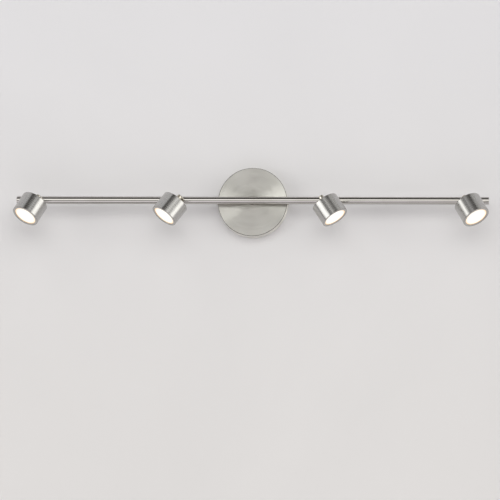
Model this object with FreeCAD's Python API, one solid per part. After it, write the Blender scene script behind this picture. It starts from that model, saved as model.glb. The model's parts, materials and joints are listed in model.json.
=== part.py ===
import FreeCAD, Part
import math
import os

# A wall or ceiling light with a round canopy, a long rail and four swivelling LED spot heads.
# Millimetres. X runs along the rail, +Y points into the wall, +Z is up.
# The origin is on the canopy's axis, in the plane of the wall. Everything lies at y <= 0.

# How far a cutting shape runs past the face it cuts
past = 1.0

# Canopy
canopy_radius = 60.0
canopy_depth = 22.0
sheet_wall = 1.2
canopy_edge_round = 1.0
canopy_screw_y = -11.0
screw_radius = 2.0
screw_clearance = 0.15
screw_slot_half_width = 0.4
side_screw_end_x = 53.5
side_screw_head_radius = 3.2
side_screw_head_height = 2.0
side_screw_slot_depth = 0.8

# Bracket behind the canopy
bracket_half_width = 11.0
bracket_thickness = 2.0
ear_outer_x = 57.5
ear_half_width = 7.0
ear_depth = 16.0
box_screw_spacing = 88.9
slot_length = 14.0
slot_radius = 2.3
bend_radius = 3.0
waist_gap = 1.5
wire_hole_radius = 6.0
ground_screw_x = -22.0
ground_screw_end_y = -0.3
ground_head_radius = 3.8
ground_head_height = 2.2
ground_slot_depth = 0.8

# Rail
rail_radius = 6.35
rail_inner_radius = 5.35
rail_length = 820.0
rail_y = -35.0
plug_flange = 1.5
plug_spigot = 8.0
plug_chamfer = 0.4

# Heads: place along the rail, then the pan and tilt angles at rest.
# Pan 0 swings the head straight down, tilt 0 aims it straight out of the wall.
heads = [
    {"number": 1, "x": -369.0, "pan": 26.9, "tilt": 67.3},
    {"number": 2, "x": -123.0, "pan": 34.5, "tilt": 73.9},
    {"number": 3, "x": 123.0, "pan": -33.8, "tilt": 80.2},
    {"number": 4, "x": 369.0, "pan": -29.8, "tilt": 70.9},
]

# Swivel, measured from the tilt pivot
pivot_to_rail = 31.5
post_radius = 4.0
post_start = 4.9
collar_radius = 5.0
collar_length = 2.0
collar_round = 0.4
saddle_crown = 1.2
saddle_depth = 3.65
shank_radius = 2.5
shank_clearance = 0.1
spring_washer_radius = 4.4
spring_washer_thickness = 0.8
nut_flats = 8.0
nut_height = 4.0
nut_dome_radius = 3.6
nut_dome_rise = 2.8
lead_bore_radius = 1.5
lead_window_radius = 1.2
tongue_half_thickness = 1.8
tongue_half_width = 3.4
pivot_screw_radius = 1.5
running_gap = 0.05
stop_peg_radius = 0.5
stop_peg_height = 1.0
stop_groove_depth = 1.2
stop_circle_radius = 3.7
pan_limit = 165.0

# Knuckle on the head
ball_radius = 4.5
slot_half_width = 2.0
slot_gap = 0.3
cheek_face_x = 3.8
spotface_radius = 2.6
pivot_head_radius = 2.2
pivot_socket_radius = 0.95
pivot_socket_depth = 1.0
neck_collar_radius = 6.5
neck_collar_thickness = 1.2
spigot_radius = 4.0
spigot_length = 10.0

# Drum, measured along the aim from the tilt pivot
drum_radius = 24.0
drum_start = 10.4
drum_length = 35.0
drum_wall = 1.5
drum_rear_wall = 2.0
drum_rear_round = 1.2
drum_front_round = 0.4
bezel_inner_radius = 19.8
bezel_recess = 0.2
bezel_thickness = 1.0
bezel_round = 0.3
bezel_skirt_length = 2.0
bezel_skirt_gap = 0.1
diffuser_radius = 21.0
diffuser_thickness = 2.0
sink_radius = 22.3
sink_boss_radius = 7.0
sink_base = 3.0
sink_lead_hole_radius = 1.8
fin_gap = 0.4
fin_count = 16
fin_thickness = 1.2
board_radius = 20.0
board_thickness = 1.6
chip_count = 6
chip_circle_radius = 8.5
chip_half_width = 1.5
chip_height = 0.7
cup_wall = 0.8
cup_rear_radius = 14.0
cup_front_radius = 20.1
lead_radius = 0.5
lead_offset = 0.9
lead_end_y = -4.3
solder_radius = 0.8
solder_height = 0.4

# Electrical pieces in the canopy
driver_size = (62.0, 14.0, 26.0)
driver_low_corner = (-22.0, 14.0)
driver_corner_round = 2.0
driver_lid_thickness = 2.0
driver_lid_line = 0.3
driver_lid_line_depth = 0.4
terminal_size = (14.0, 10.0, 20.0)
terminal_step = 3.0
terminal_entry_radius = 1.9
terminal_entry_height = 4.5
terminal_entry_end = 4.0
terminal_screw_inset = 5.0
terminal_well_radius = 2.1
terminal_well_depth = 3.0
terminal_screw_radius = 1.7
terminal_screw_sink = 1.2
terminal_slot_depth = 0.6
terminal_slot_half_width = 0.3
wire_radius = 0.8
wire_start_y = -9.0
wire_offset = 1.0
wire_bend_radii = [4.0, 2.0]
bus_offset = 3.6
bus_overrun = 6.0
nipple_radius = 4.0
nipple_bore_radius = 2.5
nipple_clearance = 0.1
nipple_rear_y = -14.0
nipple_reach = 3.5
nipple_nut_flats = 13.0
nipple_nut_height = 4.0
spacer_radius = 5.0
spacer_reach = 3.4

# Places worked out from the sizes above
canopy_inner_face_y = -(canopy_depth - sheet_wall)
pivot_y = rail_y - pivot_to_rail
shoulder = pivot_to_rail - rail_radius - saddle_crown
rear_seat = pivot_to_rail + rail_radius + saddle_crown
nut_start = rear_seat + spring_washer_thickness
shank_end = nut_start + nut_height
drum_end = drum_start + drum_length
drum_inner_radius = drum_radius - drum_wall
inner_start = drum_start + drum_rear_wall
board_start = drum_start + spigot_length + 2.0
board_front = board_start + board_thickness
bezel_end = drum_end - bezel_recess
diffuser_end = bezel_end - bezel_thickness
diffuser_start = diffuser_end - diffuser_thickness

axis_x = FreeCAD.Vector(1, 0, 0)
axis_y = FreeCAD.Vector(0, 1, 0)
axis_z = FreeCAD.Vector(0, 0, 1)


def rod(radius, y_from, y_to, x=0.0, z=0.0):
    """A cylinder along Y between two Y places."""
    low = min(y_from, y_to)
    return Part.makeCylinder(radius, abs(y_to - y_from), FreeCAD.Vector(x, low, z), axis_y)


def cross_rod(radius, x_from, x_to, y=0.0, z=0.0):
    """A cylinder along X between two X places."""
    low = min(x_from, x_to)
    return Part.makeCylinder(radius, abs(x_to - x_from), FreeCAD.Vector(low, y, z), axis_x)


def block(x_span, y_span, z_span):
    """A box from its three (low, high) spans."""
    corner = FreeCAD.Vector(x_span[0], y_span[0], z_span[0])
    return Part.makeBox(x_span[1] - x_span[0], y_span[1] - y_span[0], z_span[1] - z_span[0], corner)


def lathe(outline):
    """Turn a closed outline of (radius, y) points about the Y axis."""
    points = [FreeCAD.Vector(radius, y, 0) for radius, y in outline]
    face = Part.Face(Part.makePolygon(points + [points[0]]))
    return face.revolve(FreeCAD.Vector(0, 0, 0), axis_y, 360)


def hexagon_face(corner_radius, at, first, second):
    """A hexagonal face about a point, in the plane of two directions."""
    corners = []
    for step in range(7):
        angle = math.radians(60 * step)
        along, across = corner_radius * math.cos(angle), corner_radius * math.sin(angle)
        corners.append(at + first * along + second * across)
    return Part.Face(Part.makePolygon(corners))


def hexagon(across_flats, y_from, y_to):
    """A hexagonal prism along Y with its corners turned off."""
    corner_radius = across_flats / math.sqrt(3)
    chamfer = 0.25
    prism = hexagon_face(corner_radius, axis_y * y_from, axis_x, axis_z).extrude(axis_y * (y_to - y_from))
    blank = lathe([(0, y_from), (corner_radius - chamfer, y_from), (corner_radius, y_from + chamfer),
                   (corner_radius, y_to - chamfer), (corner_radius - chamfer, y_to), (0, y_to)])
    return prism.common(blank)


def round_edges(shape, radius, at_radius, at_y):
    """Fillet the circular edges that have this radius and lie at this Y."""
    chosen = []
    for edge in shape.Edges:
        box = edge.BoundBox
        flat = box.YLength < 1e-6 and abs(box.YMin - at_y) < 1e-6
        if flat and abs(box.XLength / 2 - at_radius) < 1e-4 and abs(box.ZLength / 2 - at_radius) < 1e-4:
            chosen.append(edge)
    return shape.makeFillet(radius, chosen)


def fuse_all(shapes):
    """Join shapes into one solid."""
    return shapes[0].multiFuse(shapes[1:]).removeSplitter()


def wire_path(points, radii):
    """Straight runs joined by tangent arcs, one radius for each inner point."""
    edges = []
    start = points[0]
    for before, corner, after, radius in zip(points, points[1:], points[2:], radii):
        back = (before - corner).normalize()
        ahead = (after - corner).normalize()
        half_turn = (math.pi - back.getAngle(ahead)) / 2
        reach = radius * math.tan(half_turn)
        arc_start = corner + back * reach
        arc_end = corner + ahead * reach
        middle_way = (back + ahead).normalize()
        middle = corner + middle_way * (radius / math.cos(half_turn) - radius)
        edges.append(Part.LineSegment(start, arc_start).toShape())
        edges.append(Part.Arc(arc_start, middle, arc_end).toShape())
        start = arc_end
    edges.append(Part.LineSegment(start, points[-1]).toShape())
    return Part.Wire(edges)


def sweep(path, radius):
    """A round wire along a path."""
    start = path.Edges[0].firstVertex().Point
    heading = path.Edges[0].tangentAt(path.Edges[0].FirstParameter)
    profile = Part.Wire(Part.makeCircle(radius, start, heading))
    return path.makePipeShell([profile], True, False)


# ---- Canopy and what it holds ----

def canopy_cover():
    """Shallow round pan, open at the wall."""
    pan = rod(canopy_radius, -canopy_depth, 0)
    pan = round_edges(pan, canopy_edge_round, canopy_radius, -canopy_depth)
    pan = pan.cut(rod(canopy_radius - sheet_wall, canopy_inner_face_y, past))
    pan = pan.cut(rod(nipple_radius + nipple_clearance, -canopy_depth - past, canopy_inner_face_y + past))
    reach = canopy_radius + past
    return pan.cut(cross_rod(screw_radius + screw_clearance, -reach, reach, y=canopy_screw_y))


def bent_edges(shape, at_y):
    """The edges along Z that lie at this Y, where the strip bends."""
    chosen = []
    for edge in shape.Edges:
        box = edge.BoundBox
        if box.ZLength > bracket_half_width and box.YLength < 1e-6 and abs(box.YMax - at_y) < 1e-6:
            chosen.append(edge)
    return chosen


def box_screw_slot(centre_x):
    """One slot for a screw of the electrical box."""
    reach = slot_length / 2 - slot_radius
    low, high = -bracket_thickness - past, past
    slot = block((centre_x - reach, centre_x + reach), (low, high), (-slot_radius, slot_radius))
    slot = slot.fuse(rod(slot_radius, low, high, x=centre_x - reach))
    return slot.fuse(rod(slot_radius, low, high, x=centre_x + reach)).removeSplitter()


def mounting_bracket():
    """Flat strip against the electrical box, with two ears that take the canopy's side screws."""
    width = (-bracket_half_width, bracket_half_width)
    body = block((-ear_outer_x, ear_outer_x), (-ear_depth, 0), width)
    body = body.makeFillet(bend_radius, bent_edges(body, 0))
    inner_x = ear_outer_x - bracket_thickness
    hollow = block((-inner_x, inner_x), (-ear_depth - past, -bracket_thickness),
                   (-bracket_half_width - past, bracket_half_width + past))
    hollow = hollow.makeFillet(bend_radius - bracket_thickness, bent_edges(hollow, -bracket_thickness))
    strip = body.cut(hollow)
    waist_x = ear_outer_x - bend_radius - waist_gap
    for side in (-1, 1):
        for edge_side in (-1, 1):
            x_span = sorted((side * waist_x, side * (ear_outer_x + past)))
            z_span = sorted((edge_side * ear_half_width, edge_side * (bracket_half_width + past)))
            strip = strip.cut(block(x_span, (-ear_depth - past, past), z_span))
        strip = strip.cut(box_screw_slot(side * box_screw_spacing / 2))
    strip = strip.cut(cross_rod(screw_radius, -ear_outer_x - past, ear_outer_x + past, y=canopy_screw_y))
    for hole_radius, hole_x in ((wire_hole_radius, 0), (screw_radius, ground_screw_x)):
        strip = strip.cut(rod(hole_radius, -bracket_thickness - past, past, x=hole_x))
    return strip


def canopy_screws():
    """Two slotted screws through the canopy's side wall into the bracket's ears."""
    screws = []
    half_slot = screw_slot_half_width
    for side in (-1, 1):
        shank = cross_rod(screw_radius, side * side_screw_end_x, side * canopy_radius, y=canopy_screw_y)
        head_end = canopy_radius + side_screw_head_height
        head = cross_rod(side_screw_head_radius, side * canopy_radius, side * head_end, y=canopy_screw_y)
        slot_x = sorted((side * (head_end - side_screw_slot_depth), side * (head_end + past)))
        reach = side_screw_head_radius + past
        slot = block(slot_x, (canopy_screw_y - reach, canopy_screw_y + reach), (-half_slot, half_slot))
        screws.append(shank.fuse(head).cut(slot))
    return Part.makeCompound(screws)


def ground_screw():
    """Earth screw in the bracket's strip."""
    head_top = -bracket_thickness - ground_head_height
    shank = rod(screw_radius, -bracket_thickness, ground_screw_end_y, x=ground_screw_x)
    head = rod(ground_head_radius, head_top, -bracket_thickness, x=ground_screw_x)
    reach = ground_head_radius + past
    slot = block((ground_screw_x - reach, ground_screw_x + reach),
                 (head_top - past, head_top + ground_slot_depth),
                 (-screw_slot_half_width, screw_slot_half_width))
    return shank.fuse(head).cut(slot)


def rail_nipple():
    """Hollow threaded tube that holds the rail to the canopy and carries the wires."""
    front_end = rail_y + nipple_reach
    tube = rod(nipple_radius, front_end, nipple_rear_y)
    return tube.cut(rod(nipple_bore_radius, front_end - past, nipple_rear_y + past))


def nipple_nut():
    """Nut on the nipple, inside the canopy."""
    rear_y = canopy_inner_face_y + nipple_nut_height
    nut = hexagon(nipple_nut_flats, canopy_inner_face_y, rear_y)
    return nut.cut(rod(nipple_radius, canopy_inner_face_y - past, rear_y + past))


def centre_saddle():
    """Round spacer between the canopy and the rail, hollowed to sit on the tube."""
    spacer = rod(spacer_radius, -canopy_depth, rail_y + spacer_reach)
    spacer = spacer.cut(cross_rod(rail_radius, -spacer_radius - past, spacer_radius + past, y=rail_y))
    return spacer.cut(rod(nipple_radius, rail_y, 0))


def driver_case():
    """LED driver, bonded to the inside of the canopy's front."""
    x_low, z_low = driver_low_corner
    width, depth, height = driver_size
    y_low, y_high = canopy_inner_face_y, canopy_inner_face_y + depth
    case = block((x_low, x_low + width), (y_low, y_high), (z_low, z_low + height))
    upright = [edge for edge in case.Edges if edge.BoundBox.YLength > depth / 2]
    case = case.makeFillet(driver_corner_round, upright)
    line_y = y_high - driver_lid_thickness
    outer_x = (x_low - past, x_low + width + past)
    outer_z = (z_low - past, z_low + height + past)
    inner_x = (x_low + driver_lid_line_depth, x_low + width - driver_lid_line_depth)
    inner_z = (z_low + driver_lid_line_depth, z_low + height - driver_lid_line_depth)
    groove = block(outer_x, (line_y - driver_lid_line, line_y), outer_z)
    return case.cut(groove.cut(block(inner_x, (line_y - past, line_y + past), inner_z)))


def terminal_block():
    """Screw terminals for the supply's two wires, on the end of the driver."""
    width, depth, height = terminal_size
    x_high = driver_low_corner[0]
    x_low = x_high - width
    z_low = driver_low_corner[1] + terminal_step
    y_high = canopy_inner_face_y + depth
    screw_x = x_low + terminal_screw_inset
    screw_top = y_high - terminal_screw_sink
    body = block((x_low, x_high), (canopy_inner_face_y, y_high), (z_low, z_low + height))
    for way in (-1, 1):
        z = z_low + height / 2 + way * height / 4
        entry = cross_rod(terminal_entry_radius, x_low - past, x_high - terminal_entry_end,
                          y=canopy_inner_face_y + terminal_entry_height, z=z)
        well = rod(terminal_well_radius, y_high - terminal_well_depth, y_high + past, x=screw_x, z=z)
        screw = rod(terminal_screw_radius, y_high - terminal_well_depth - 0.5, screw_top, x=screw_x, z=z)
        slot_x = (screw_x - terminal_screw_radius - past, screw_x + terminal_screw_radius + past)
        slot_z = (z - terminal_slot_half_width, z + terminal_slot_half_width)
        slot = block(slot_x, (screw_top - terminal_slot_depth, screw_top + past), slot_z)
        body = body.cut(entry).cut(well).fuse(screw.cut(slot))
    return body


def supply_wire(side):
    """One conductor: from the driver, down the nipple's bore and along the rail both ways."""
    x = side * wire_offset
    points = [
        FreeCAD.Vector(x, wire_start_y, driver_low_corner[1]),
        FreeCAD.Vector(x, wire_start_y, 0),
        FreeCAD.Vector(x, rail_y, 0),
        FreeCAD.Vector(x, rail_y, side * bus_offset),
    ]
    feed = sweep(wire_path(points, wire_bend_radii), wire_radius)
    reach = heads[-1]["x"] + bus_overrun
    bus = cross_rod(wire_radius, -reach, reach, y=rail_y, z=side * bus_offset)
    return feed.fuse(bus)


# ---- Rail ----

def rail_tube():
    """Round tube, drilled for the four swivels and for the nipple."""
    half = rail_length / 2 - plug_flange
    tube = cross_rod(rail_radius, -half, half, y=rail_y)
    tube = tube.cut(cross_rod(rail_inner_radius, -half - past, half + past, y=rail_y))
    front, rear = rail_y - rail_radius - past, rail_y + rail_radius + past
    for head in heads:
        tube = tube.cut(rod(shank_radius + shank_clearance, front, rear, x=head["x"]))
    return tube.cut(rod(nipple_radius, rail_y, rear))


def end_plugs():
    """Two plugs pressed into the ends of the rail."""
    plugs = []
    for side in (-1, 1):
        mouth = side * (rail_length / 2 - plug_flange)
        end = side * rail_length / 2
        spigot = cross_rod(rail_inner_radius - running_gap, mouth - side * plug_spigot, mouth, y=rail_y)
        flange = cross_rod(rail_radius, mouth, end, y=rail_y)
        rim = [edge for edge in flange.Edges if abs(edge.BoundBox.XMin - end) < 1e-6 and edge.Closed]
        plugs.append(flange.makeChamfer(plug_chamfer, rim).fuse(spigot))
    return Part.makeCompound(plugs)


def saddle(x, way):
    """A seat on the rail's front (way -1) or rear (way 1), flat outside and hollowed to the tube."""
    flat_y = rail_y + way * (rail_radius + saddle_crown)
    seat = rod(collar_radius, flat_y, flat_y - way * saddle_depth, x=x)
    seat = seat.cut(cross_rod(rail_radius, x - collar_radius - past, x + collar_radius + past, y=rail_y))
    return seat.cut(rod(shank_radius + shank_clearance, rail_y, flat_y + way * past, x=x))


def front_saddles():
    """Seats under the swivel posts, each with the peg that stops the swivel."""
    seats = []
    flat_y = rail_y - rail_radius - saddle_crown
    for head in heads:
        peg = rod(stop_peg_radius, flat_y - stop_peg_height, flat_y + stop_peg_height,
                  x=head["x"], z=stop_circle_radius)
        seats.append(saddle(head["x"], -1).fuse(peg))
    return Part.makeCompound(seats)


def rear_saddles():
    """Seats behind the rail, under the spring washers."""
    return Part.makeCompound([saddle(head["x"], 1) for head in heads])


def spring_washers():
    """Washers that press on the swivel nuts and give each swivel its friction."""
    washers = []
    low = rail_y + rail_radius + saddle_crown
    high = low + spring_washer_thickness
    for head in heads:
        washer = rod(spring_washer_radius, low, high, x=head["x"])
        washers.append(washer.cut(rod(shank_radius + shank_clearance, low - past, high + past, x=head["x"])))
    return Part.makeCompound(washers)


# ---- Swivel pieces, with the tilt pivot at the origin and the rail towards +Y ----

def down_rod(radius, y, depth):
    """A drilled way down from the axis, straight along -Z."""
    return Part.makeCylinder(radius, depth, FreeCAD.Vector(0, y, -depth), axis_z)


def swivel_post():
    """Post with the tilt tongue at the front and a shank through the rail."""
    collar_start = shoulder - collar_length
    post = rod(post_radius, post_start, collar_start + collar_round)
    post = round_edges(post, collar_round, post_radius, post_start)
    collar = rod(collar_radius, collar_start, shoulder)
    collar = round_edges(collar, collar_round, collar_radius, collar_start)
    shank = rod(shank_radius, shoulder - past, shank_end)
    tongue = cross_rod(tongue_half_width, -tongue_half_thickness, tongue_half_thickness)
    tongue = tongue.fuse(block((-tongue_half_thickness, tongue_half_thickness), (0, post_start + past),
                               (-tongue_half_width, tongue_half_width)))
    body = fuse_all([post, collar, shank, tongue])
    body = body.cut(cross_rod(pivot_screw_radius + running_gap, -post_radius, post_radius))
    body = body.cut(rod(lead_bore_radius, post_start + past, shank_end - 2))
    body = body.cut(down_rod(lead_window_radius, post_start + 2, post_radius + past))
    window = down_rod(lead_window_radius, pivot_to_rail, shank_radius + past)
    window = window.fuse(window.mirror(FreeCAD.Vector(0, 0, 0), axis_z))
    return body.cut(window).cut(stop_groove())


def stop_groove():
    """Ring groove in the collar's face, broken by the wall that the stop peg meets."""
    half_width = stop_peg_radius + running_gap
    floor_y = shoulder - stop_groove_depth
    ring = rod(stop_circle_radius + half_width, floor_y, shoulder + past)
    ring = ring.cut(rod(stop_circle_radius - half_width, floor_y - past, shoulder + 2 * past))
    peg_half_angle = math.degrees(math.asin(stop_peg_radius / stop_circle_radius))
    wall_half_angle = 180 - pan_limit - peg_half_angle - 0.5
    reach = 2 * collar_radius
    offset = reach * math.tan(math.radians(wall_half_angle))
    low = floor_y - past
    corners = [FreeCAD.Vector(0, low, 0), FreeCAD.Vector(offset, low, -reach),
               FreeCAD.Vector(-offset, low, -reach), FreeCAD.Vector(0, low, 0)]
    wall = Part.Face(Part.makePolygon(corners)).extrude(axis_y * (stop_groove_depth + 3 * past))
    return ring.cut(wall)


def post_nut():
    """Domed nut that locks on the end of the shank."""
    nut = hexagon(nut_flats, nut_start, shank_end)
    dome_centre = shank_end + nut_dome_rise - nut_dome_radius
    dome = Part.makeSphere(nut_dome_radius, FreeCAD.Vector(0, dome_centre, 0))
    kept = rod(nut_dome_radius + past, shank_end - nut_height / 8, shank_end + nut_dome_rise + past)
    return nut.fuse(dome.common(kept)).cut(rod(shank_radius, nut_start - past, shank_end))


# ---- Head pieces, with the tilt pivot at the origin and the aim towards -Y ----

def neck_knuckle():
    """Ball-ended neck, slotted for the post's tongue, with a threaded spigot into the drum."""
    neck = rod(ball_radius, -drum_start, 0)
    collar_top = -drum_start + neck_collar_thickness
    collar = rod(neck_collar_radius, -drum_start, collar_top)
    collar = round_edges(collar, collar_round, neck_collar_radius, collar_top)
    spigot = rod(spigot_radius, -drum_start - spigot_length, -drum_start + past)
    body = fuse_all([Part.makeSphere(ball_radius), neck, collar, spigot])
    width = (-slot_half_width, slot_half_width)
    cavity_radius = tongue_half_width + slot_gap
    far = 2 * ball_radius
    cavity = cross_rod(cavity_radius, width[0], width[1])
    cavity = cavity.fuse(block(width, (0, far), (-far, cavity_radius)))
    cavity = cavity.fuse(block(width, (-cavity_radius, far), (-far, 0)))
    body = body.cut(cavity)
    for side in (-1, 1):
        body = body.cut(cross_rod(spotface_radius, side * cheek_face_x, side * (ball_radius + past)))
    body = body.cut(cross_rod(pivot_screw_radius, -ball_radius - past, ball_radius + past))
    body = body.cut(screw_cone())
    return body.cut(rod(lead_bore_radius, -drum_start - spigot_length - past, 0))


def screw_cone():
    """The pivot screw's countersunk head, in the +X cheek."""
    depth = pivot_head_radius - pivot_screw_radius
    start = FreeCAD.Vector(cheek_face_x - depth, 0, 0)
    return Part.makeCone(pivot_screw_radius, pivot_head_radius, depth, start, axis_x)


def pivot_screw():
    """Countersunk screw across the knuckle, the tilt axis."""
    screw = cross_rod(pivot_screw_radius, -cheek_face_x, cheek_face_x - running_gap).fuse(screw_cone())
    bottom = FreeCAD.Vector(cheek_face_x - pivot_socket_depth, 0, 0)
    socket = hexagon_face(pivot_socket_radius, bottom, axis_y, axis_z)
    return screw.cut(socket.extrude(axis_x * (pivot_socket_depth + past)))


def drum_shell():
    """Turned drum with its rear wall in one piece."""
    drum = rod(drum_radius, -drum_end, -drum_start)
    drum = round_edges(drum, drum_rear_round, drum_radius, -drum_start)
    drum = round_edges(drum, drum_front_round, drum_radius, -drum_end)
    drum = drum.cut(rod(drum_inner_radius, -drum_end - past, -inner_start))
    return drum.cut(rod(spigot_radius + running_gap, -drum_end, 0))


def heat_sink():
    """Finned block behind the LEDs, screwed on the neck's spigot so that it clamps the rear wall."""
    base = rod(sink_radius, -board_start, -board_start + sink_base)
    boss = rod(sink_boss_radius, -board_start, -inner_start)
    pieces = [base, boss]
    for step in range(fin_count):
        fin = block((0, sink_radius - fin_gap), (-board_start + past, -inner_start - fin_gap),
                    (-fin_thickness / 2, fin_thickness / 2))
        fin.rotate(FreeCAD.Vector(0, 0, 0), axis_y, 360 * step / fin_count)
        pieces.append(fin)
    sink = fuse_all(pieces)
    sink = sink.cut(rod(spigot_radius, -drum_start - spigot_length, 0))
    return sink.cut(rod(sink_lead_hole_radius, -board_start - past, 0))


def led_board():
    """Metal-backed board with a ring of LED chips."""
    board = rod(board_radius, -board_front, -board_start)
    for side in (-1, 1):
        board = board.cut(rod(lead_radius + running_gap, -board_front - past, 0, x=side * lead_offset))
    pieces = [board]
    for step in range(chip_count):
        chip = block((chip_circle_radius - chip_half_width, chip_circle_radius + chip_half_width),
                     (-board_front - chip_height, -board_start), (-chip_half_width, chip_half_width))
        chip.rotate(FreeCAD.Vector(0, 0, 0), axis_y, 360 * step / chip_count)
        pieces.append(chip)
    return fuse_all(pieces)


def reflector_cup():
    """White cone that mixes the light between the board and the diffuser."""
    return lathe([(cup_rear_radius, -board_front), (cup_rear_radius + cup_wall, -board_front),
                  (cup_front_radius + cup_wall, -diffuser_start), (cup_front_radius, -diffuser_start)])


def diffuser_lens():
    """Opal disc."""
    return rod(diffuser_radius, -diffuser_end, -diffuser_start)


def bezel_ring():
    """Ring pressed into the drum's mouth that holds the diffuser by its edge."""
    outer = drum_inner_radius
    skirt_inner = diffuser_radius + bezel_skirt_gap
    skirt_start = diffuser_start - bezel_skirt_length
    ring = lathe([(bezel_inner_radius, -bezel_end), (outer, -bezel_end), (outer, -skirt_start),
                  (skirt_inner, -skirt_start), (skirt_inner, -diffuser_end),
                  (bezel_inner_radius, -diffuser_end)])
    return round_edges(ring, bezel_round, bezel_inner_radius, -bezel_end)


def head_leads():
    """The two leads from the knuckle to the board, each with its solder joint."""
    leads = []
    for side in (-1, 1):
        lead = rod(lead_radius, -board_front - solder_height, lead_end_y, x=side * lead_offset)
        solder = rod(solder_radius, -board_front - solder_height, -board_front, x=side * lead_offset)
        leads.append(lead.fuse(solder))
    return Part.makeCompound(leads)


def placed(shape, head, tilted):
    """Move a swivel or head piece to its place on the rail."""
    turn = FreeCAD.Rotation(axis_y, head["pan"])
    if tilted:
        turn = turn.multiply(FreeCAD.Rotation(axis_x, head["tilt"]))
    piece = shape.copy()
    piece.Placement = FreeCAD.Placement(FreeCAD.Vector(head["x"], pivot_y, 0), turn)
    return piece


def save(name, shape):
    """Write one STEP file and print what it holds."""
    solids = shape.Solids
    fault = "" if shape.isValid() and solids else "  INVALID"
    print(f"{name:20s} solids {len(solids)}  volume {shape.Volume:10.1f} mm3{fault}")
    shape.exportStep(f"parts/{name}.step")


def main():
    os.makedirs("parts", exist_ok=True)
    fixed = {
        "canopy_cover": canopy_cover(),
        "mounting_bracket": mounting_bracket(),
        "canopy_screws": canopy_screws(),
        "ground_screw": ground_screw(),
        "centre_saddle": centre_saddle(),
        "rail_nipple": rail_nipple(),
        "nipple_nut": nipple_nut(),
        "driver_case": driver_case(),
        "terminal_block": terminal_block(),
        "positive_wire": supply_wire(1),
        "negative_wire": supply_wire(-1),
        "rail_tube": rail_tube(),
        "end_plugs": end_plugs(),
        "front_saddles": front_saddles(),
        "rear_saddles": rear_saddles(),
        "spring_washers": spring_washers(),
    }
    panning = {
        "swivel_post": swivel_post(),
        "post_nut": post_nut(),
    }
    tilting = {
        "neck_knuckle": neck_knuckle(),
        "pivot_screw": pivot_screw(),
        "drum_shell": drum_shell(),
        "heat_sink": heat_sink(),
        "led_board": led_board(),
        "reflector_cup": reflector_cup(),
        "diffuser_lens": diffuser_lens(),
        "bezel_ring": bezel_ring(),
        "head_leads": head_leads(),
    }
    for name, shape in fixed.items():
        save(name, shape)
    for head in heads:
        for name, shape in panning.items():
            save(f"{name}_{head['number']}", placed(shape, head, tilted=False))
        for name, shape in tilting.items():
            save(f"{name}_{head['number']}", placed(shape, head, tilted=True))


main()
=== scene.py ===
import bpy
import bmesh
import json
import math
from mathutils import Matrix, Vector


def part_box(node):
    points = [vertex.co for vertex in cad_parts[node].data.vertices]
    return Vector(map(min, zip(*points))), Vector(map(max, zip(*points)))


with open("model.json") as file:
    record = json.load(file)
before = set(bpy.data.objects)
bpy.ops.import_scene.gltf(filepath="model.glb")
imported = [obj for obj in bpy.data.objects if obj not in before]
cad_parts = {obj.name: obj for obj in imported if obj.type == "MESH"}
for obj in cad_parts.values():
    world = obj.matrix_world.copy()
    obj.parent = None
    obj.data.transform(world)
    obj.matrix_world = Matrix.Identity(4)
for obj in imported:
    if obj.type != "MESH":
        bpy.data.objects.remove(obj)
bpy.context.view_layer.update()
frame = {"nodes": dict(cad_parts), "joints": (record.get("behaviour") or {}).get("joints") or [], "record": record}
cadNodes = frame["nodes"]
jointByName = {joint["name"]: joint for joint in frame["joints"]}
headNumbers = [1, 2, 3, 4]
canopyLow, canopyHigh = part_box("canopy_cover")
canopyMiddle = (canopyLow + canopyHigh) / 2
canopyRadius = (canopyHigh.x - canopyLow.x) / 2
print("frame loaded:", len(cadNodes), "pieces")


# Camera: a long lens, a little to the right of the canopy and below it.

cameraSet = {
    "right": 5.27,          # degrees to the right of straight on
    "below": 10.03,         # degrees below level
    "roll": 1.07,
    "distance": 8.0,
    "widthShown": 0.8688,   # metres across the picture at the fixture
    "aimFromCanopy": (-0.0061, 0.0244, -0.0784),
    "sensor": 36.0,
    "farthest": 50.0,
}


def cameraAxes():
    side = math.radians(cameraSet["right"])
    drop = math.radians(cameraSet["below"])
    roll = math.radians(cameraSet["roll"])
    away = Vector((-math.sin(side) * math.cos(drop), math.cos(side) * math.cos(drop), math.sin(drop)))
    levelRight = Vector((math.cos(side), math.sin(side), 0))
    levelUp = levelRight.cross(away)
    right = levelRight * math.cos(roll) + levelUp * math.sin(roll)
    up = levelUp * math.cos(roll) - levelRight * math.sin(roll)
    return right, up, -away


def makeCamera():
    right, up, back = cameraAxes()
    aim = canopyMiddle + Vector(cameraSet["aimFromCanopy"])
    data = bpy.data.cameras.new("camera")
    data.sensor_width = cameraSet["sensor"]
    data.lens = cameraSet["sensor"] * cameraSet["distance"] / cameraSet["widthShown"]
    data.clip_end = cameraSet["farthest"]
    camera = bpy.data.objects.new("camera", data)
    bpy.context.scene.collection.objects.link(camera)
    place = Matrix((right, up, back)).transposed().to_4x4()
    place.translation = aim + back * cameraSet["distance"]
    camera.matrix_world = place
    bpy.context.scene.camera = camera


makeCamera()
bpy.context.scene.view_settings.view_transform = "Standard"
print("camera placed")


# Node helpers.

def addNode(tree, kind, **settings):
    node = tree.nodes.new(kind)
    for name, value in settings.items():
        setattr(node, name, value)
    return node


def mathNode(tree, operation, first, second=None):
    node = addNode(tree, "ShaderNodeMath", operation=operation)
    for socket, value in zip(node.inputs, (first, second)):
        if isinstance(value, (int, float)):
            socket.default_value = value
        elif value is not None:
            tree.links.new(value, socket)
    return node.outputs[0]


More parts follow.
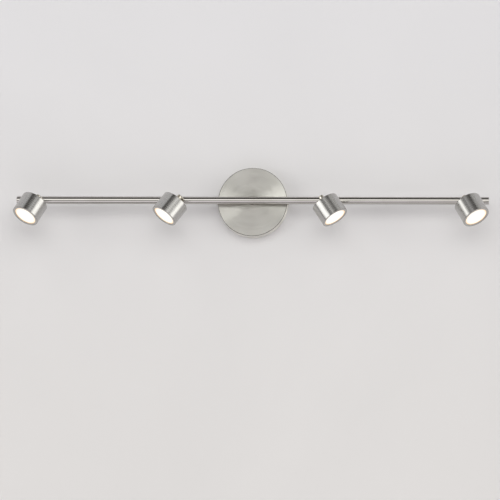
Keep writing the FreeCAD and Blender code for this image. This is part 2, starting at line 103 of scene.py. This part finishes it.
def vectorMath(tree, operation, first, second):
    node = addNode(tree, "ShaderNodeVectorMath", operation=operation)
    for socket, value in zip(node.inputs, (first, second)):
        if isinstance(value, (tuple, Vector)):
            socket.default_value = value
        else:
            tree.links.new(value, socket)
    return node.outputs["Value" if operation == "DOT_PRODUCT" else "Vector"]


def mapRange(tree, value, fromLow, fromHigh, toLow, toHigh, smooth=False):
    node = addNode(tree, "ShaderNodeMapRange", interpolation_type="SMOOTHSTEP" if smooth else "LINEAR")
    tree.links.new(value, node.inputs["Value"])
    limits = (("From Min", fromLow), ("From Max", fromHigh), ("To Min", toLow), ("To Max", toHigh))
    for name, limit in limits:
        node.inputs[name].default_value = limit
    return node.outputs["Result"]


def mixColour(tree, amount, first, second):
    node = addNode(tree, "ShaderNodeMix", data_type="RGBA")
    tree.links.new(amount, node.inputs[0])
    for socket, value in ((node.inputs[6], first), (node.inputs[7], second)):
        if isinstance(value, tuple):
            socket.default_value = (*value, 1)
        else:
            tree.links.new(value, socket)
    return node.outputs[2]


def startGroup(name, inputs, outputs):
    group = bpy.data.node_groups.new(name, "ShaderNodeTree")
    for label, kind, value in inputs:
        socket = group.interface.new_socket(label, in_out="INPUT", socket_type=kind)
        if value is not None:
            socket.default_value = value
    for label, kind in outputs:
        group.interface.new_socket(label, in_out="OUTPUT", socket_type=kind)
    return group, addNode(group, "NodeGroupInput"), addNode(group, "NodeGroupOutput")


def useGroup(tree, group, place, **values):
    node = addNode(tree, "ShaderNodeGroup", node_tree=group)
    tree.links.new(place, node.inputs["Place"])
    for name, value in values.items():
        node.inputs[name].default_value = value
    return node.outputs


# Shared surface effects.

# The part of each noise's range that is put to use.
noiseSpan = {
    "lines": (0.35, 0.65), "patches": (0.35, 0.65), "specks": (0.3, 0.7),
    "streaks": (0.2, 0.8), "worn": (0.0, 0.7),
}
speckShare = 40.0   # specks are this many times finer than patches


def makeTurnedLines():
    group, given, result = startGroup(
        "turnedLines",
        [("Place", "NodeSocketVector", None), ("Fineness", "NodeSocketFloat", 9000.0),
         ("Wander", "NodeSocketFloat", 1.2)],
        [("Lines", "NodeSocketFloat"), ("Arcs", "NodeSocketFloat")],
    )
    split = addNode(group, "ShaderNodeSeparateXYZ")
    group.links.new(given.outputs["Place"], split.inputs[0])
    x, y, z = split.outputs
    squares = mathNode(group, "ADD", mathNode(group, "MULTIPLY", x, x), mathNode(group, "MULTIPLY", z, z))
    radius = mathNode(group, "SQRT", mathNode(group, "ADD", squares, 1e-9))
    wander = given.outputs["Wander"]
    across = mathNode(group, "MULTIPLY", mathNode(group, "DIVIDE", x, radius), wander)
    upward = mathNode(group, "MULTIPLY", mathNode(group, "DIVIDE", z, radius), wander)
    outputs = []
    for share in (1.0, 0.3):   # fine grooves, then broader arcs of uneven polish
        fineness = mathNode(group, "MULTIPLY", given.outputs["Fineness"], share)
        join = addNode(group, "ShaderNodeCombineXYZ")
        group.links.new(mathNode(group, "MULTIPLY", radius, fineness), join.inputs[0])
        group.links.new(mathNode(group, "MULTIPLY", y, fineness), join.inputs[1])
        group.links.new(across, join.inputs[2])
        noise = addNode(group, "ShaderNodeTexNoise", noise_dimensions="4D")
        noise.inputs["Scale"].default_value = 1.0
        noise.inputs["Detail"].default_value = 2.0
        group.links.new(join.outputs[0], noise.inputs["Vector"])
        group.links.new(upward, noise.inputs["W"])
        outputs.append(noise.outputs[0])
    group.links.new(outputs[0], result.inputs["Lines"])
    group.links.new(outputs[1], result.inputs["Arcs"])
    return group


def makeSmudges():
    group, given, result = startGroup(
        "smudges",
        [("Place", "NodeSocketVector", None), ("Size", "NodeSocketFloat", 30.0)],
        [("Patches", "NodeSocketFloat"), ("Specks", "NodeSocketFloat")],
    )
    broad = addNode(group, "ShaderNodeTexNoise")
    broad.inputs["Detail"].default_value = 3.0
    broad.inputs["Distortion"].default_value = 0.6
    fine = addNode(group, "ShaderNodeTexNoise")
    fine.inputs["Detail"].default_value = 4.0
    for noise in (broad, fine):
        group.links.new(given.outputs["Place"], noise.inputs["Vector"])
    group.links.new(given.outputs["Size"], broad.inputs["Scale"])
    group.links.new(mathNode(group, "MULTIPLY", given.outputs["Size"], speckShare), fine.inputs["Scale"])
    group.links.new(mapRange(group, broad.outputs[0], *noiseSpan["patches"], 0, 1), result.inputs["Patches"])
    group.links.new(fine.outputs[0], result.inputs["Specks"])
    return group


def makeDrawnLines():
    group, given, result = startGroup(
        "drawnLines",
        [("Place", "NodeSocketVector", None), ("Fineness", "NodeSocketFloat", 4000.0)],
        [("Lines", "NodeSocketFloat")],
    )
    stretch = vectorMath(group, "MULTIPLY", given.outputs["Place"], (0.004, 1.0, 1.0))
    noise = addNode(group, "ShaderNodeTexNoise")
    noise.inputs["Detail"].default_value = 2.0
    group.links.new(stretch, noise.inputs["Vector"])
    group.links.new(given.outputs["Fineness"], noise.inputs["Scale"])
    group.links.new(noise.outputs[0], result.inputs["Lines"])
    return group


turnedLines = makeTurnedLines()
smudges = makeSmudges()
drawnLines = makeDrawnLines()
print("surface effects ready")


# Materials.

def startMaterial(name):
    material = bpy.data.materials.new(name)
    material.use_nodes = True
    tree = material.node_tree
    return material, tree, tree.nodes["Principled BSDF"]


def objectPlace(tree, centre=(0, 0, 0), turn=(0, 0, 0)):
    coordinates = addNode(tree, "ShaderNodeTexCoord")
    mapping = addNode(tree, "ShaderNodeMapping", vector_type="TEXTURE")
    mapping.inputs["Location"].default_value = centre
    mapping.inputs["Rotation"].default_value = turn
    tree.links.new(coordinates.outputs["Object"], mapping.inputs["Vector"])
    return mapping.outputs[0]


def bumpFrom(tree, shader, height, distance):
    bump = addNode(tree, "ShaderNodeBump")
    bump.inputs["Distance"].default_value = distance
    bump.inputs["Strength"].default_value = 1.0
    tree.links.new(height, bump.inputs["Height"])
    tree.links.new(bump.outputs[0], shader.inputs["Normal"])


def spreadAcrossLines(tree, shader, place, turn):
    flatten = vectorMath(tree, "MULTIPLY", place, (1.0, 0.0, 1.0))
    outward = addNode(tree, "ShaderNodeVectorMath", operation="NORMALIZE")
    tree.links.new(flatten, outward.inputs[0])
    alongBoth = vectorMath(tree, "ADD", outward.outputs[0], (0.0, 1.0, 0.0))
    turnBack = addNode(tree, "ShaderNodeVectorRotate", rotation_type="EULER_XYZ")
    turnBack.inputs["Rotation"].default_value = turn
    tree.links.new(alongBoth, turnBack.inputs["Vector"])
    toWorld = addNode(tree, "ShaderNodeVectorTransform", vector_type="VECTOR",
                      convert_from="OBJECT", convert_to="WORLD")
    tree.links.new(turnBack.outputs[0], toWorld.inputs[0])
    tree.links.new(toWorld.outputs[0], shader.inputs["Tangent"])


# How far a surface faces along the turning axis: 0 on the side, 1 on the flat face.
# On the rounded edge between side and face the colour is painted dark: painted shade along the rim.
rimShadeSpan = {"side": (0.10, 0.30), "face": (0.90, 0.99)}
polishShare = {"arcs": 0.6, "patches": 0.4}


def roundedRimShade(tree, turn):
    surface = addNode(tree, "ShaderNodeNewGeometry")
    toObject = addNode(tree, "ShaderNodeVectorTransform", vector_type="NORMAL",
                       convert_from="WORLD", convert_to="OBJECT")
    tree.links.new(surface.outputs["Normal"], toObject.inputs[0])
    axis = Matrix.Rotation(turn[1], 3, "Y") @ Matrix.Rotation(turn[0], 3, "X") @ Vector((0, 1, 0))
    along = mathNode(tree, "ABSOLUTE", vectorMath(tree, "DOT_PRODUCT", toObject.outputs[0], axis))
    rise = mapRange(tree, along, *rimShadeSpan["side"], 0, 1, smooth=True)
    fall = mapRange(tree, along, *rimShadeSpan["face"], 1, 0, smooth=True)
    return mathNode(tree, "MULTIPLY", rise, fall)


def turnedMetal(name, look, centre=(0, 0, 0), turn=(0, 0, 0)):
    material, tree, shader = startMaterial(name)
    place = objectPlace(tree, centre, turn)
    grain = useGroup(tree, turnedLines, place, Fineness=look["fineness"], Wander=look["wander"])
    wear = useGroup(tree, smudges, place, Size=look["smudgeSize"])
    shade = mixColour(tree, grain["Lines"], look["dark"], look["light"])
    worn = mathNode(tree, "MULTIPLY", wear["Patches"], look["smudge"])
    colour = mixColour(tree, worn, shade, look["dark"])
    # Painted shade: the rounded edge is darkened towards the look's rim colour.
    colour = mixColour(tree, roundedRimShade(tree, turn), colour, look["rim"])
    tree.links.new(colour, shader.inputs["Base Color"])
    low, high = look["roughness"]
    streaks = mathNode(tree, "ADD", mathNode(tree, "MULTIPLY", grain["Arcs"], polishShare["arcs"]),
                       mathNode(tree, "MULTIPLY", wear["Patches"], polishShare["patches"]))
    broad = mapRange(tree, streaks, *noiseSpan["streaks"], low, high)
    fine = mapRange(tree, grain["Lines"], *noiseSpan["lines"], -look["groove"] / 2, look["groove"] / 2)
    tree.links.new(mathNode(tree, "ADD", broad, fine), shader.inputs["Roughness"])
    bumpFrom(tree, shader, grain["Lines"], look["grooveDepth"])
    shader.inputs["Metallic"].default_value = 1.0
    shader.inputs["Anisotropic"].default_value = look["spread"]
    spreadAcrossLines(tree, shader, place, turn)
    return material


def polishedMetal(name, look):
    material, tree, shader = startMaterial(name)
    place = objectPlace(tree)
    lines = useGroup(tree, drawnLines, place, Fineness=look["fineness"])
    wear = useGroup(tree, smudges, place, Size=look["smudgeSize"])
    colour = mixColour(tree, wear["Patches"], look["light"], look["dark"])
    tree.links.new(colour, shader.inputs["Base Color"])
    low, high = look["roughness"]
    uneven = mathNode(tree, "MULTIPLY", lines["Lines"], wear["Patches"])
    tree.links.new(mapRange(tree, uneven, *noiseSpan["worn"], low, high), shader.inputs["Roughness"])
    bumpFrom(tree, shader, lines["Lines"], look["lineDepth"])
    shader.inputs["Metallic"].default_value = 1.0
    shader.inputs["Specular Tint"].default_value = (*look["edge"], 1)
    return material


def mouldedPlastic(name, look):
    material, tree, shader = startMaterial(name)
    place = objectPlace(tree)
    wear = useGroup(tree, smudges, place, Size=look["smudgeSize"])
    tree.links.new(mixColour(tree, wear["Patches"], look["light"], look["dark"]), shader.inputs["Base Color"])
    low, high = look["roughness"]
    rough = mapRange(tree, wear["Specks"], *noiseSpan["specks"], low, high)
    tree.links.new(rough, shader.inputs["Roughness"])
    bumpFrom(tree, shader, wear["Specks"], look["grainDepth"])
    return material


def plainMetal(name, look):
    material = mouldedPlastic(name, look)
    material.node_tree.nodes["Principled BSDF"].inputs["Metallic"].default_value = 1.0
    return material


def opalLens(name, look, centre, turn):
    material, tree, shader = startMaterial(name)
    place = objectPlace(tree, centre, turn)
    split = addNode(tree, "ShaderNodeSeparateXYZ")
    tree.links.new(place, split.inputs[0])
    x, _, z = split.outputs
    squares = mathNode(tree, "ADD", mathNode(tree, "MULTIPLY", x, x), mathNode(tree, "MULTIPLY", z, z))
    radius = mathNode(tree, "SQRT", squares)
    toRim = mapRange(tree, radius, look["rimStart"], look["rimEnd"], 0, 1, smooth=True)
    grain = useGroup(tree, smudges, place, Size=look["grainSize"])
    middle = mixColour(tree, grain["Patches"], look["middle"], look["middleCool"])
    glow = mixColour(tree, toRim, middle, look["rim"])
    tree.links.new(glow, shader.inputs["Emission Color"])
    shader.inputs["Emission Strength"].default_value = look["strength"]
    tree.links.new(mixColour(tree, toRim, look["body"], look["bodyRim"]), shader.inputs["Base Color"])
    rough = mapRange(tree, grain["Specks"], *noiseSpan["specks"], *look["roughness"])
    tree.links.new(rough, shader.inputs["Roughness"])
    return material


# The canopy's nickel colours are painted lighter than the same nickel on the drums and tube: painted light on the
# canopy face.
litCanopyLook = {
    # rim is a painted shade colour for the rounded edge, not a colour of the metal.
    "light": (0.84, 0.83, 0.78), "dark": (0.76, 0.75, 0.71), "rim": (0.10, 0.08, 0.07),
    "fineness": 5200.0, "wander": 1.5, "grooveDepth": 0.0000008,
    "smudgeSize": 22.0, "smudge": 0.15,
    "roughness": (0.42, 0.46), "groove": 0.30, "spread": 1.0,
}
drumLook = {
    # rim is a painted shade colour for the rounded edge, not a colour of the metal.
    "light": (0.53, 0.52, 0.505), "dark": (0.48, 0.475, 0.465), "rim": (0.26, 0.23, 0.21),
    "fineness": 6500.0, "wander": 1.2, "grooveDepth": 0.0000004,
    "smudgeSize": 60.0, "smudge": 0.25,
    "roughness": (0.23, 0.28), "groove": 0.03, "spread": 0.75,
}
railLook = {
    "light": (0.66, 0.64, 0.62), "dark": (0.61, 0.59, 0.56), "edge": (0.045, 0.029, 0.021),
    "fineness": 3200.0, "lineDepth": 0.0000005, "smudgeSize": 18.0,
    "roughness": (0.03, 0.08),
}
knuckleLook = {
    "light": (0.70, 0.66, 0.57), "dark": (0.61, 0.57, 0.49), "edge": (0.06, 0.04, 0.03),
    "fineness": 3200.0, "lineDepth": 0.0000005, "smudgeSize": 90.0,
    "roughness": (0.05, 0.12),
}
zincLook = {
    "light": (0.62, 0.63, 0.64), "dark": (0.46, 0.46, 0.45), "smudgeSize": 120.0,
    "roughness": (0.28, 0.48), "grainDepth": 0.000008,
}
greenLook = {
    "light": (0.10, 0.38, 0.16), "dark": (0.06, 0.26, 0.11), "smudgeSize": 200.0,
    "roughness": (0.3, 0.5), "grainDepth": 0.000008,
}
sinkLook = {
    "light": (0.72, 0.72, 0.73), "dark": (0.58, 0.58, 0.59), "smudgeSize": 90.0,
    "roughness": (0.35, 0.55), "grainDepth": 0.00001,
}
whiteLook = {
    "light": (0.84, 0.84, 0.82), "dark": (0.76, 0.76, 0.73), "smudgeSize": 40.0,
    "roughness": (0.42, 0.6), "grainDepth": 0.00002,
}
greyLook = {
    "light": (0.50, 0.51, 0.52), "dark": (0.40, 0.41, 0.42), "smudgeSize": 60.0,
    "roughness": (0.4, 0.6), "grainDepth": 0.00002,
}
redWireLook = {
    "light": (0.58, 0.05, 0.04), "dark": (0.42, 0.03, 0.03), "smudgeSize": 60.0,
    "roughness": (0.3, 0.45), "grainDepth": 0.000005,
}
blackWireLook = {
    "light": (0.035, 0.035, 0.037), "dark": (0.02, 0.02, 0.02), "smudgeSize": 60.0,
    "roughness": (0.3, 0.45), "grainDepth": 0.000005,
}
boardLook = {
    "light": (0.88, 0.88, 0.85), "dark": (0.78, 0.78, 0.74), "smudgeSize": 150.0,
    "roughness": (0.35, 0.5), "grainDepth": 0.000004,
}
lensLook = {
    "middle": (1.0, 0.985, 0.93), "middleCool": (0.98, 0.975, 0.94), "rim": (1.0, 0.62, 0.26),
    "rimStart": 0.0158, "rimEnd": 0.0212, "grainSize": 160.0,
    "body": (0.30, 0.29, 0.27), "bodyRim": (0.30, 0.22, 0.14), "strength": 0.84,
    "roughness": (0.42, 0.55),
}

sharedMaterials = {
    "brushed_nickel": turnedMetal("nickelTurnedFace", litCanopyLook),
    "polished_nickel": polishedMetal("nickelPolished", knuckleLook),
    "zinc_steel": plainMetal("steelZincPlated", zincLook),
    "green_screw": plainMetal("steelGreen", greenLook),
    "bare_aluminium": plainMetal("aluminiumCast", sinkLook),
    "white_plastic": mouldedPlastic("plasticWhite", whiteLook),
    "reflector_white": mouldedPlastic("plasticReflector", whiteLook),
    "grey_plastic": mouldedPlastic("plasticGrey", greyLook),
    "red_wire": mouldedPlastic("wireRed", redWireLook),
    "black_wire": mouldedPlastic("wireBlack", blackWireLook),
    "led_board": mouldedPlastic("boardWhite", boardLook),
}


def restTurn(number):
    panLow, panHigh = jointByName[f"pan_{number}"]["range_deg"]
    tiltLow = jointByName[f"tilt_{number}"]["range_deg"][0]
    return (math.radians(-tiltLow), math.radians(-(panLow + panHigh) / 2), 0)


def paint(node, material):
    piece = cadNodes[node]
    piece.data.materials.clear()
    piece.data.materials.append(material)


def paintHead(number):
    pivot = tuple(jointByName[f"tilt_{number}"]["pos_m"])
    turn = restTurn(number)
    satin = turnedMetal(f"nickelSatin{number}", drumLook, pivot, turn)
    paint(f"drum_shell_{number}", satin)
    paint(f"bezel_ring_{number}", satin)
    paint(f"diffuser_lens_{number}", opalLens(f"opalLit{number}", lensLook, pivot, turn))


slotByNode = {part["node"]: part["material_slot"] for part in frame["record"]["subparts"]}
for nodeName, slotName in slotByNode.items():
    if slotName in sharedMaterials:
        paint(nodeName, sharedMaterials[slotName])
for headNumber in headNumbers:
    paintHead(headNumber)
tubeNickel = polishedMetal("nickelTube", railLook)
for nodeName in ("rail_tube", "end_plugs"):
    paint(nodeName, tubeNickel)
print("materials assigned")


# Wall, and the light that fills the canopy's back for views from behind.

wallSet = {
    "width": 6.0, "height": 5.0, "gap": 0.0004,
    "warm": (0.80, 0.785, 0.78), "cool": (0.785, 0.78, 0.80), "patchy": 0.06,
    "fade": (-0.5, 0.5), "patchSize": 2.5, "patchTone": (0.5, 0.5, 0.5),
    "roughness": 0.9, "gloss": 0.2,
}


def makePlane(name, width, height, y, centre):
    mesh = bpy.data.meshes.new(name)
    sheet = bmesh.new()
    bmesh.ops.create_grid(sheet, x_segments=1, y_segments=1, size=0.5)
    bmesh.ops.scale(sheet, vec=(width, height, 1), verts=sheet.verts)
    bmesh.ops.rotate(sheet, matrix=Matrix.Rotation(math.radians(90), 3, "X"), verts=sheet.verts)
    bmesh.ops.translate(sheet, vec=(centre.x, y, centre.z), verts=sheet.verts)
    sheet.to_mesh(mesh)
    sheet.free()
    plane = bpy.data.objects.new(name, mesh)
    bpy.context.scene.collection.objects.link(plane)
    return plane


def wallPaint():
    material, tree, shader = startMaterial("wallPaint")
    place = objectPlace(tree)
    split = addNode(tree, "ShaderNodeSeparateXYZ")
    tree.links.new(place, split.inputs[0])
    low, high = wallSet["fade"]
    rise = mapRange(tree, split.outputs[2], low, high, 0, 1, smooth=True)
    tone = mixColour(tree, rise, wallSet["warm"], wallSet["cool"])
    wear = useGroup(tree, smudges, place, Size=wallSet["patchSize"])
    uneven = mathNode(tree, "MULTIPLY", wear["Patches"], wallSet["patchy"])
    tree.links.new(mixColour(tree, uneven, tone, wallSet["patchTone"]), shader.inputs["Base Color"])
    shader.inputs["Roughness"].default_value = wallSet["roughness"]
    shader.inputs["Specular IOR Level"].default_value = wallSet["gloss"]
    clear = addNode(tree, "ShaderNodeBsdfTransparent")
    mix = addNode(tree, "ShaderNodeMixShader")
    side = addNode(tree, "ShaderNodeNewGeometry")
    rays = addNode(tree, "ShaderNodeLightPath")
    fromBehind = mathNode(tree, "MULTIPLY", side.outputs["Backfacing"], rays.outputs["Is Camera Ray"])
    tree.links.new(fromBehind, mix.inputs[0])
    tree.links.new(shader.outputs[0], mix.inputs[1])
    tree.links.new(clear.outputs[0], mix.inputs[2])
    tree.links.new(mix.outputs[0], tree.nodes["Material Output"].inputs["Surface"])
    return material


backGlowSet = {"strength": 0.8, "inset": 0.003}


def makeBackGlow():
    mesh = bpy.data.meshes.new("backGlow")
    disc = bmesh.new()
    radius = canopyRadius - backGlowSet["inset"]
    bmesh.ops.create_circle(disc, cap_ends=True, segments=48, radius=radius)
    bmesh.ops.rotate(disc, matrix=Matrix.Rotation(math.radians(90), 3, "X"), verts=disc.verts)
    bmesh.ops.translate(disc, vec=(canopyMiddle.x, wallSet["gap"] / 2, canopyMiddle.z), verts=disc.verts)
    disc.to_mesh(mesh)
    disc.free()
    glow = bpy.data.objects.new("backGlow", mesh)
    bpy.context.scene.collection.objects.link(glow)
    material, tree, _ = startMaterial("backGlow")
    lamp = addNode(tree, "ShaderNodeEmission")
    lamp.inputs["Strength"].default_value = backGlowSet["strength"]
    tree.links.new(lamp.outputs[0], tree.nodes["Material Output"].inputs["Surface"])
    mesh.materials.append(material)
    glow.visible_camera = False


wall = makePlane("wall", wallSet["width"], wallSet["height"], wallSet["gap"], canopyMiddle)
wall.data.materials.append(wallPaint())
makeBackGlow()
print("wall ready")


# Light: a soft studio around the fixture, and one soft lamp above the camera.

# Each panel spans degrees to the side (right is positive) and degrees above the camera's line.
studioPanels = {
    "rightSide": {"side": (50, 86), "height": (-14, 31), "soft": 6, "glow": (1.92, 1.91, 1.83)},
    "leftSide": {"side": (-86, -44), "height": (-10, 22), "soft": 5, "glow": (2.12, 2.12, 2.06)},
    "frontAbove": {"side": (-19, 38), "height": (6, 39), "soft": 5, "glow": (1.15, 1.14, 1.10)},
    "frontBelow": {"side": (-70, 70), "height": (-58, -21), "soft": 5, "glow": (0.66, 0.63, 0.66)},
    "horizon": {"side": (-40, 40), "height": (-19, -1), "soft": 4, "glow": (-0.12, -0.12, -0.12)},
    "highLeft": {"side": (-118, -38), "height": (46, 74), "soft": 8, "glow": (0.66, 0.66, 0.67)},
    "highRight": {"side": (36, 150), "height": (44, 76), "soft": 8, "glow": (0.50, 0.50, 0.49)},
    "sides": {"side": (-180, 180), "height": (-56, 46), "soft": 8, "glow": (0.20, 0.20, 0.20)},
}
studioBase = (0.09, 0.085, 0.08)
backgroundTone = (0.84, 0.84, 0.85)


def window(tree, value, low, high, soft):
    rise = mapRange(tree, value, low - soft, low + soft, 0, 1, smooth=True)
    fall = mapRange(tree, value, high - soft, high + soft, 1, 0, smooth=True)
    return mathNode(tree, "MULTIPLY", rise, fall)


def makeStudio():
    world = bpy.data.worlds.new("studio")
    world.use_nodes = True
    bpy.context.scene.world = world
    tree = world.node_tree
    right, up, back = cameraAxes()
    heading = addNode(tree, "ShaderNodeTexCoord").outputs["Generated"]
    toRight, toUp, toBack = (vectorMath(tree, "DOT_PRODUCT", heading, axis) for axis in (right, up, back))
    side = mathNode(tree, "DEGREES", mathNode(tree, "ARCTAN2", toRight, toBack))
    height = mathNode(tree, "DEGREES", mathNode(tree, "ARCSINE", toUp))
    colour = None
    for panel in studioPanels.values():
        share = mathNode(tree, "MULTIPLY", window(tree, side, *panel["side"], panel["soft"]),
                         window(tree, height, *panel["height"], panel["soft"]))
        glow = mixColour(tree, share, (0.0, 0.0, 0.0), panel["glow"])
        colour = vectorMath(tree, "ADD", colour if colour else studioBase, glow)
    rays = addNode(tree, "ShaderNodeLightPath")
    shown = mixColour(tree, rays.outputs["Is Camera Ray"], colour, backgroundTone)
    tree.links.new(shown, tree.nodes["Background"].inputs["Color"])


keyLamp = {"side": -8, "height": 30, "distance": 3.0, "width": 2.8, "tall": 2.0, "watts": 17}


def makeKeyLamp():
    right, up, back = cameraAxes()
    side, height = math.radians(keyLamp["side"]), math.radians(keyLamp["height"])
    direction = right * math.sin(side) * math.cos(height) + back * math.cos(side) * math.cos(height)
    direction += up * math.sin(height)
    data = bpy.data.lights.new("keyLamp", "AREA")
    data.shape = "RECTANGLE"
    data.size, data.size_y = keyLamp["width"], keyLamp["tall"]
    data.energy = keyLamp["watts"]
    lamp = bpy.data.objects.new("keyLamp", data)
    bpy.context.scene.collection.objects.link(lamp)
    lamp.location = canopyMiddle + direction * keyLamp["distance"]
    lamp.rotation_euler = direction.to_track_quat("Z", "Y").to_euler()
    lamp.visible_camera = False
    lamp.visible_glossy = False


makeStudio()
makeKeyLamp()
print("light ready")
